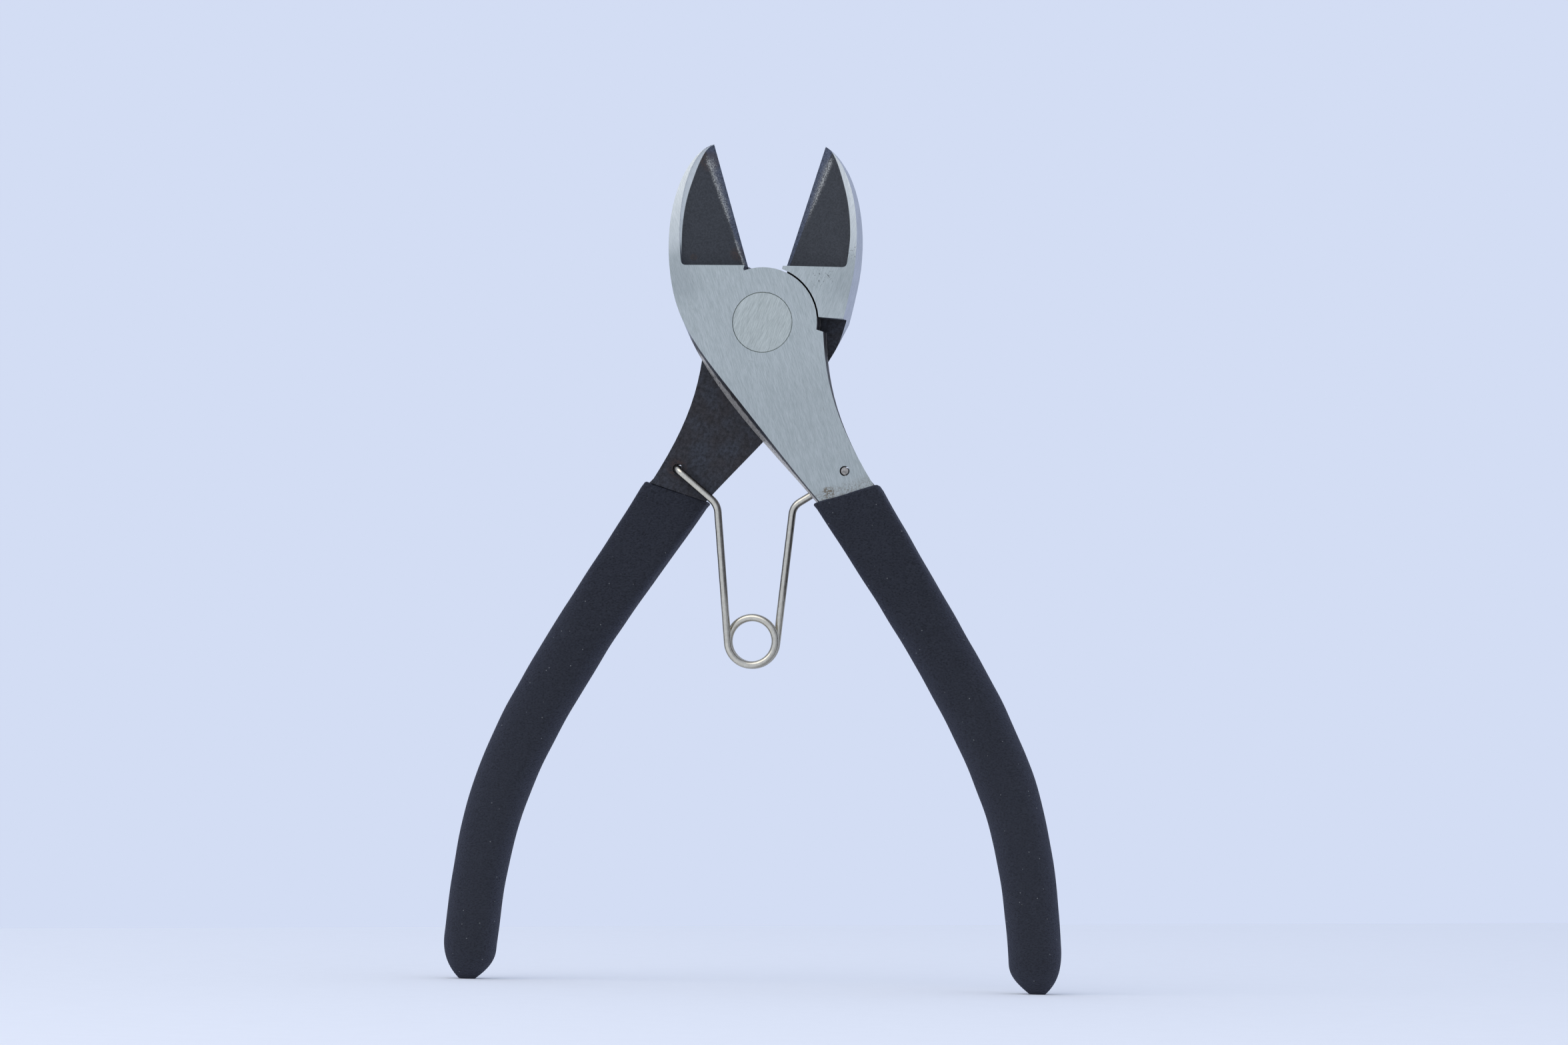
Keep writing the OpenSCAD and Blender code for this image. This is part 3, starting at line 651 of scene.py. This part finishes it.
def lever_steel(name, pose, wear):
    """Ground bright on its flat sides and the jaw's back, dark with oxide in the hollows, walls and lap."""
    shader = Shader(name)
    spot = shader.place(pose)
    x, y, z = shader.split(spot)
    depth = shader.math("ABSOLUTE", y)
    normal = shader.split(shader.node("ShaderNodeNewGeometry").outputs["True Normal"])
    facing = shader.math("ABSOLUTE", normal[1])
    wall = shader.math("LESS_THAN", facing, WALL_FACING)
    face_strokes = grinding_strokes(shader, spot, FACE_STROKES)
    back_strokes = grinding_strokes(shader, spot, BACK_STROKES)
    grains = shader.noise(spot, OXIDE_GRAINS)
    in_bore = shader.math("GREATER_THAN", shader.both(wall, shader.near(x, z, (0.0, 0.0), BORE_REACH)), 0.0)
    rim = nose_rim(shader, spot, wall, wear["rim"])
    step = shader.both(rim, wall)
    ground = shader.either(ground_mask(shader, depth, z), rim, in_bore)
    back = back_mask(shader, spot, wall)
    trimmed = trimmed_mask(shader, spot, depth, wall)
    bare = shader.colours(shader.band(grains, *TRIMMED_GRAIN_SPAN), TRIMMED_DARK, TRIMMED_LIGHT)
    colour = shader.colours(trimmed, dark_steel(shader, spot, facing, wear), bare)
    colour = shader.colours(back, colour, shader.colours(back_strokes, BACK_DARK, BACK_LIGHT))
    colour = shader.colours(ground, colour, bright_steel(shader, spot, face_strokes, wear, rim, step))
    metal = shader.either(ground, back, shader.both(trimmed, TRIMMED_METAL))
    # The step's wall takes painted light and no metal, against its dark shade
    metal = shader.math("SUBTRACT", metal, step, clamp=True)
    strokes = shader.values(back, face_strokes, back_strokes)
    shader.set(
        Base_Color=colour,
        Metallic=metal,
        Roughness=shader.values(metal, OXIDE_ROUGHNESS, shader.values(strokes, *STROKE_ROUGHNESS)),
        Specular_IOR_Level=OXIDE_SPECULAR,
        Normal=shader.bump(shader.values(metal, grains, strokes), STEEL_RELIEF),
    )
    return shader.material


def rivet_steel(pivot):
    """Ground flush with the levers, its own scratches across theirs."""
    shader = Shader("rivet_steel")
    grind = Matrix.Translation(pivot) @ Matrix.Rotation(math.radians(RIVET_GRIND_TURN), 4, "Y")
    strokes = grinding_strokes(shader, shader.place(grind), FACE_STROKES)
    shader.set(
        Base_Color=shader.colours(strokes, RIVET_DARK, RIVET_LIGHT),
        Metallic=1.0,
        Roughness=shader.values(strokes, *RIVET_ROUGHNESS),
        Normal=shader.bump(strokes, RIVET_RELIEF),
    )
    return shader.material


def dipped_foam():
    """Dull charcoal layer with a fine leathery grain, soft lumps and a few pale specks of dust."""
    shader = Shader("dipped_foam")
    spot = shader.place()
    _, _, height = shader.split(spot)
    grain = shader.grains(shader.stretched(spot, FOAM_STRETCH), FOAM_GRAIN, FOAM_GRAIN_SPAN)
    lumps = shader.noise(spot, FOAM_LUMPS)
    faded = shader.both(shader.band(height, *FOAM_FADED_HEIGHTS), FOAM_FADING)
    dust = shader.both(shader.scattered(spot, DUST_SPREAD, DUST_REACH), DUST_STRENGTH)
    colour = shader.colours(shader.values(FOAM_LUMP_SHARE, grain, lumps), FOAM_DARK, FOAM_LIGHT)
    colour = shader.colours(faded, colour, FOAM_FADED)
    shader.set(
        Base_Color=shader.colours(dust, colour, DUST),
        Roughness=FOAM_ROUGHNESS,
        Specular_IOR_Level=FOAM_SPECULAR,
        Sheen_Weight=FOAM_SHEEN,
        Sheen_Roughness=FOAM_SHEEN_ROUGHNESS,
        Sheen_Tint=FOAM_SHEEN_TINT,
        Normal=shader.bump(shader.values(FOAM_RELIEF_SHARE, grain, lumps), FOAM_RELIEF),
    )
    return shader.material


def nickel_wire(pivot):
    """Bright drawn wire with a painted highlight down its core and painted shade on its flanks, less of it on
    the coil, and dull at its cut ends.
    """
    shader = Shader("nickel_wire")
    spot = shader.place(Matrix.Translation(pivot))
    _, y, z = shader.split(spot)
    normal = shader.split(shader.node("ShaderNodeNewGeometry").outputs["Normal"])
    mottle = shader.grains(spot, NICKEL_MOTTLE, NOISE_SPAN)
    # Painted highlight and shade: bright where the surface faces front, a little to the left, dark on the
    # flanks
    aside = shader.math("POWER", shader.math("ADD", normal[0], WIRE_HIGHLIGHT_TURN), 2.0)
    upright = shader.math("MULTIPLY", shader.math("POWER", normal[2], 2.0), FLANK_SHADE_UPRIGHT_SHARE)
    flank = shader.band(shader.math("ADD", aside, upright), *FLANK_SHADE_SPAN)
    flank = shader.both(flank, shader.values(shader.band(z, *LEG_SPAN), COIL_FLANK_SHADE, 1.0))
    end_y = HALF_T - HOOK_END_INSET - SHEARED_SKIN
    cut_end = shader.math("GREATER_THAN", shader.math("ABSOLUTE", y), end_y)
    bright = shader.colours(mottle, NICKEL_DARK, NICKEL_LIGHT)
    flank_shade = shader.colours(mottle, FLANK_SHADE_DARK, FLANK_SHADE_LIGHT)
    sheared = shader.colours(mottle, SHEARED_DARK, SHEARED_LIGHT)
    shader.set(
        Base_Color=shader.colours(cut_end, shader.colours(flank, bright, flank_shade), sheared),
        Metallic=1.0,
        Roughness=shader.values(cut_end, NICKEL_ROUGHNESS, SHEARED_ROUGHNESS),
    )
    return shader.material


def floor_paper():
    """Pale matt paper."""
    shader = Shader("floor_paper")
    fibres = shader.noise(shader.place(), FLOOR_FIBRES)
    low = tuple(c - FLOOR_FIBRE_DEPTH for c in FLOOR_COLOUR)
    shader.set(
        Base_Color=shader.colours(fibres, low, FLOOR_COLOUR),
        Roughness=FLOOR_ROUGHNESS,
        Specular_IOR_Level=FLOOR_SPECULAR,
    )
    return shader.material


def new_mesh(name, points, faces, material):
    mesh = bpy.data.meshes.new(name)
    mesh.from_pydata(points, [], faces)
    mesh.update()
    mesh.materials.append(material)
    mesh.shade_smooth()
    mesh.set_sharp_from_angle(angle=math.radians(SHARP_ANGLE))
    piece = bpy.data.objects.new(name, mesh)
    bpy.context.scene.collection.objects.link(piece)
    return piece


def tube_faces(rings, sides, first_cap=True, last_cap=True):
    """Faces of a skin through rings of points, with its ends closed where wanted."""
    faces = []
    for r in range(rings - 1):
        for k in range(sides):
            a, b = r * sides + k, r * sides + (k + 1) % sides
            faces.append((a, b, b + sides, a + sides))
    if first_cap:
        faces.append(tuple(reversed(range(sides))))
    if last_cap:
        faces.append(tuple(range((rings - 1) * sides, rings * sides)))
    return faces


def grip_ring(t, inset=0.0, lower=0.0):
    """One section of the grip, in millimetres: t runs from 0 at its top to 1 at the handle's end."""
    middle_x, middle_z = bezier3(GRIP_CURVE, t)
    past_top = min(1.0, (-middle_z - GRIP_TOP) / HAND_RUN)
    end_z = -GRIP_CURVE[3][1]
    past_hand = (-middle_z - GRIP_TOP - HAND_RUN) / (end_z - GRIP_END_ROUND - GRIP_TOP - HAND_RUN)
    past_end = max(0.0, (-middle_z - end_z + GRIP_END_ROUND) / GRIP_END_ROUND)
    hand = smooth(past_top)
    shrink = 1 - (1 - GRIP_FOOT_W / GRIP_END_W) * past_end**GRIP_END_FULLNESS
    width = GRIP_W + (GRIP_TOP_W - GRIP_W) * (1 - past_top) ** 2
    width += (GRIP_END_W - GRIP_W) * smooth(past_hand)
    root_t = HALF_T + COAT - GRIP_PASS_GAP / 2
    root_y = -(HALF_T + COAT + GRIP_PASS_GAP / 2) / 2
    half_w = (width / 2 - inset) * shrink
    half_t = (mix(root_t, GRIP_T, hand) / 2 - inset) * shrink
    power = 2 / mix(ROOT_SQUARENESS, HAND_SQUARENESS, hand)
    foot_slope = -math.tan(math.radians(REST_HALF_ANGLE)) * past_end
    ring = []
    for k in range(GRIP_SIDES):
        a = 2 * math.pi * k / GRIP_SIDES
        across = half_w * signed_power(math.cos(a), power)
        deep = half_t * signed_power(math.sin(a), power)
        up = middle_z - lower + foot_slope * across
        ring.append(Vector((middle_x + across, root_y * (1 - hand) + deep, up)))
    return ring


def grip_rings():
    """Sections from inside the rolled top edge, over it and down to the rounded end."""
    end_start = 1 - GRIP_END_ROUND / (3 * (GRIP_CURVE[2][1] - GRIP_CURVE[3][1]))
    rings = [grip_ring(0, COAT + GRIP_SEAT, lower=GRIP_LIP_DEPTH)]
    for i in range(GRIP_LIP_RINGS):
        a = math.pi / 2 * i / (GRIP_LIP_RINGS - 1)
        rings.append(grip_ring(0, GRIP_LIP * (1 - math.sin(a)), lower=GRIP_LIP * (1 - math.cos(a))))
    for i in range(1, GRIP_RINGS + 1):
        rings.append(grip_ring(end_start * i / GRIP_RINGS))
    for i in range(1, GRIP_END_RINGS + 1):
        rings.append(grip_ring(mix(end_start, 1, i / GRIP_END_RINGS)))
    return rings


def dipped_grip(name, node, body, pose, material, seed):
    """The grip with the soft waves of a layer that was dipped and cured on the steel."""
    rings = grip_rings()
    points = []
    for ring in rings:
        middle = sum(ring, Vector()) / len(ring)
        for p in ring:
            out = (p - middle).normalized()
            wave = noise.noise(p / GRIP_WAVE_LENGTH + Vector((seed, 0, 0)))
            at_top = smooth(1 - (-p.z - GRIP_TOP) / TOP_WAVE_RUN)
            dip = TOP_WAVE * at_top * abs(noise.noise(Vector((p.x, p.y, seed)) / TOP_WAVE_LENGTH))
            moved = p + out * (GRIP_WAVE * wave - GRIP_WAVE_INSET) - Vector((0, 0, dip))
            points.append(pose @ (moved * MM))
    piece = new_mesh(name, points, tube_faces(len(rings), GRIP_SIDES), material)
    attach(piece, body)
    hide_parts(node)


def half_wire(hook):
    """Path from a hook on the left to the top of the coil, and the places where its pieces part."""
    knee = Vector(KNEE)
    coil = Vector((0, -COIL_Z))
    reach = knee - coil
    start = math.atan2(reach.y, reach.x) + math.acos(COIL_R / reach.length)
    middle = math.radians(COIL_MIDDLE_ANGLE)
    pitch = WIRE_D + WIRE_GAP

    def coil_point(a):
        return coil + COIL_R * Vector((math.cos(a), math.sin(a)))

    def coil_y(a):
        return pitch * (a - middle) / (2 * math.pi)

    leg_y = coil_y(start)
    leg_end = coil_point(start)
    hook_way = (knee - hook).normalized()
    leg_way = (leg_end - knee).normalized()
    path = [(hook, HALF_T - HOOK_END_INSET), (hook, leg_y + HOOK_BEND + WIRE_D)]
    for i in range(BEND_STEPS + 1):
        a = math.pi / 2 * i / BEND_STEPS
        along = HOOK_BEND * (1 - math.cos(a))
        path.append((hook + along * hook_way, leg_y + HOOK_BEND * (1 - math.sin(a))))
    bend = (knee - KNEE_BEND * hook_way, knee, knee + KNEE_BEND * leg_way)
    path += [(bezier2(bend, i / BEND_STEPS), leg_y) for i in range(BEND_STEPS + 1)]
    stations = [0, len(path) - 1]
    for i in range(1, LEG_STEPS):
        path.append((bend[2].lerp(leg_end, i / LEG_STEPS), leg_y))
    stations.append(len(path) - 1 - LEG_STEPS // 2)
    stations.append(len(path))
    for i in range(COIL_STEPS + 1):
        a = mix(start, middle, i / COIL_STEPS)
        path.append((coil_point(a), coil_y(a)))
    return [Vector((p.x, y, p.y)) for p, y in path], stations


def tube_points(path):
    """Rings of a wire along a path, carried along it without twist."""
    points = []
    side = Vector((0, 0, 1))
    for i, p in enumerate(path):
        way = (path[min(i + 1, len(path) - 1)] - path[max(i - 1, 0)]).normalized()
        side = (side - side.dot(way) * way).normalized()
        other = way.cross(side)
        for k in range(WIRE_SIDES):
            a = 2 * math.pi * k / WIRE_SIDES
            points.append(p + WIRE_D / 2 * (math.cos(a) * side + math.sin(a) * other))
    return points


def smooth_inverse(w):
    """The place between 0 and 1 where the smooth step has the value w."""
    return 0.5 - math.sin(math.asin(1 - 2 * w) / 3)


def wire_share(p):
    """Share of the joint's turn that a point of a leg follows, so that the leg stays nearly straight."""
    hole_r = math.hypot(*HOOK_HOLE)
    r = math.hypot(p.x, p.z)
    along = min(1.0, max(0.0, (COIL_Z - r) / (COIL_Z - hole_r)))
    lean = 0.5 * along * hole_r / mix(COIL_Z, hole_r, along)
    return 0.5 + (lean if p.x < -SPRING_SHIFT else -lean)


def wire_piece(mesh, pivot, ends, shares):
    """A stretch of wire, baked where it stands: the line along which its ends would follow the joint by the
    first and the second share is worked out but not used.
    """
    first, last = (p * MM + pivot for p in ends)
    if abs(shares[1] - shares[0]) < SAME_SHARE:
        level = smooth_inverse(shares[0])
        reach = Vector((0, 1, 0))
        first, run = pivot - reach * level, reach
    else:
        t0, t1 = (smooth_inverse(s) for s in shares)
        run = (last - first) / (t1 - t0)
        first = first - t0 * run
    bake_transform(mesh)
    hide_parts("return_spring")


def wire_path():
    """The whole wire from the pivot: left half, and the right one turned half round the coil's axis."""
    turn = math.radians(REST_HALF_ANGLE)
    hole_x = HOOK_HOLE[0] * math.cos(turn) - HOOK_HOLE[1] * math.sin(turn)
    hole_z = HOOK_HOLE[0] * math.sin(turn) + HOOK_HOLE[1] * math.cos(turn)
    left, stations = half_wire(Vector((SPRING_SHIFT - hole_x, hole_z)))
    right, _ = half_wire(Vector((-SPRING_SHIFT - hole_x, hole_z)))
    shift = Vector((SPRING_SHIFT, 0, 0))
    path = [p - shift for p in left]
    path += [Vector((-p.x, -p.y, p.z)) - shift for p in reversed(right[:-1])]
    last = len(path) - 1
    return path, stations + [last - s for s in reversed(stations)]


def return_spring(pivot, material):
    """The spring in stretches: hook, two halves of the leg, coil, and the same on the other side."""
    path, cuts = wire_path()
    points = [p * MM + pivot for p in tube_points(path)]
    last = len(path) - 1
    for number, (a, b) in enumerate(zip(cuts, cuts[1:])):
        is_coil = a < last / 2 < b
        shares = (0.5, 0.5) if is_coil else (wire_share(path[a]), wire_share(path[b]))
        stretch = points[a * WIRE_SIDES:(b + 1) * WIRE_SIDES]
        faces = tube_faces(b + 1 - a, WIRE_SIDES, first_cap=a == 0, last_cap=b == last)
        mesh = new_mesh(f"spring_{number}", stretch, faces, material)
        wire_piece(mesh, pivot, (path[a], path[b]), shares)


def camera_view():
    """Place of the camera in millimetres, and its axes to the right, up and back."""
    turn, rise, roll = (math.radians(a) for a in (CAMERA_TURN, CAMERA_RISE, CAMERA_ROLL))
    back = Vector((math.sin(turn) * math.cos(rise), -math.cos(turn) * math.cos(rise), math.sin(rise)))
    level = Vector((math.cos(turn), math.sin(turn), 0))
    upright = back.cross(level)
    right = level * math.cos(roll) + upright * math.sin(roll)
    up = upright * math.cos(roll) - level * math.sin(roll)
    return Vector(CAMERA_TARGET) + back * CAMERA_DISTANCE, right, up, back


def floor_spot(column, row):
    """The spot of the floor that is seen at a place of the image."""
    eye, right, up, back = camera_view()
    per_pixel = SENSOR_W / CAMERA_LENS / IMAGE_W
    ray = right * (column - IMAGE_W / 2) * per_pixel + up * (IMAGE_H / 2 - row) * per_pixel - back
    return eye - ray * (eye.z / ray.z)


def stage(material):
    """A floor whose back edge runs along the photograph's seam, far out on both sides."""
    left = floor_spot(0, SEAM_ROW_LEFT)
    right = floor_spot(IMAGE_W, SEAM_ROW_RIGHT)
    far = (right - left) * FLOOR_REACH
    front = Vector((0, -FLOOR_FRONT - left.y, 0))
    corners = [left - far + front, right + far + front, right + far, left - far]
    floor = new_mesh("floor", [c * MM for c in corners], [(0, 1, 2, 3)], material)


def key_light():
    """One broad soft light from above the camera's left shoulder."""
    light = bpy.data.lights.new("key", "AREA")
    light.shape = "DISK"
    light.size = KEY_SIZE
    light.energy = KEY_POWER
    light.color = linear(KEY_COLOUR)[:3]
    lamp = bpy.data.objects.new("key", light)
    lamp.location = KEY_PLACE
    lamp.rotation_euler = (Vector(KEY_AIM) - Vector(KEY_PLACE)).to_track_quat("-Z", "Y").to_euler()
    bpy.context.scene.collection.objects.link(lamp)


def pale_room():
    """Even pale surroundings in the colour of the photograph's wall."""
    world = bpy.data.worlds.new("pale_room")
    world.use_nodes = True
    background = world.node_tree.nodes["Background"]
    background.inputs["Color"].default_value = linear(WALL_COLOUR)
    bpy.context.scene.world = world


def camera():
    """Looks at the tool nearly square on, a little from its right, as the photograph does."""
    eye, right, up, back = camera_view()
    data = bpy.data.cameras.new("camera")
    data.sensor_width = SENSOR_W
    data.lens = CAMERA_LENS
    data.clip_end = CAMERA_FAR_M
    seen_from = bpy.data.objects.new("camera", data)
    axes = Matrix((right, up, back)).transposed().to_4x4()
    seen_from.matrix_world = Matrix.Translation(eye * MM) @ axes
    bpy.context.scene.collection.objects.link(seen_from)
    bpy.context.scene.camera = seen_from


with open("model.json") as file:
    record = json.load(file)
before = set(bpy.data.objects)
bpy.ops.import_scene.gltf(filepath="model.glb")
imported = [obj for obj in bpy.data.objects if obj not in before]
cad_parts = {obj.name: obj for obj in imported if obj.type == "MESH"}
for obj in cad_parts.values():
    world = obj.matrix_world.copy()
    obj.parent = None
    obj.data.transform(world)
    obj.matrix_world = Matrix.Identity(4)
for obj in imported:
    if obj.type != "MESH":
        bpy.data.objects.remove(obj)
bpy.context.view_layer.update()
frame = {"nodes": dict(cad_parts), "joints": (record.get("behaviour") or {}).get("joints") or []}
pivot_point = Vector(frame["joints"][0]["pos_m"])
poses = {"front": lever_pose(pivot_point, 1), "rear": lever_pose(pivot_point, -1)}

foam = dipped_foam()
for number, (side, place) in enumerate(poses.items()):
    lever = frame["nodes"][f"{side}_lever"]
    lever.data.materials.clear()
    lever.data.materials.append(lever_steel(f"{side}_lever_steel", place, LEVER_WEAR[side]))
    dipped_grip(f"{side}_foam", f"{side}_grip", f"{side}_lever", place, foam, GRIP_SEED_STEP * number)
rivet = frame["nodes"]["pivot_rivet"]
rivet.data.materials.clear()
rivet.data.materials.append(rivet_steel(pivot_point))
return_spring(pivot_point, nickel_wire(pivot_point))

stage(floor_paper())
pale_room()
key_light()
camera()
bpy.context.scene.view_settings.view_transform = "Standard"
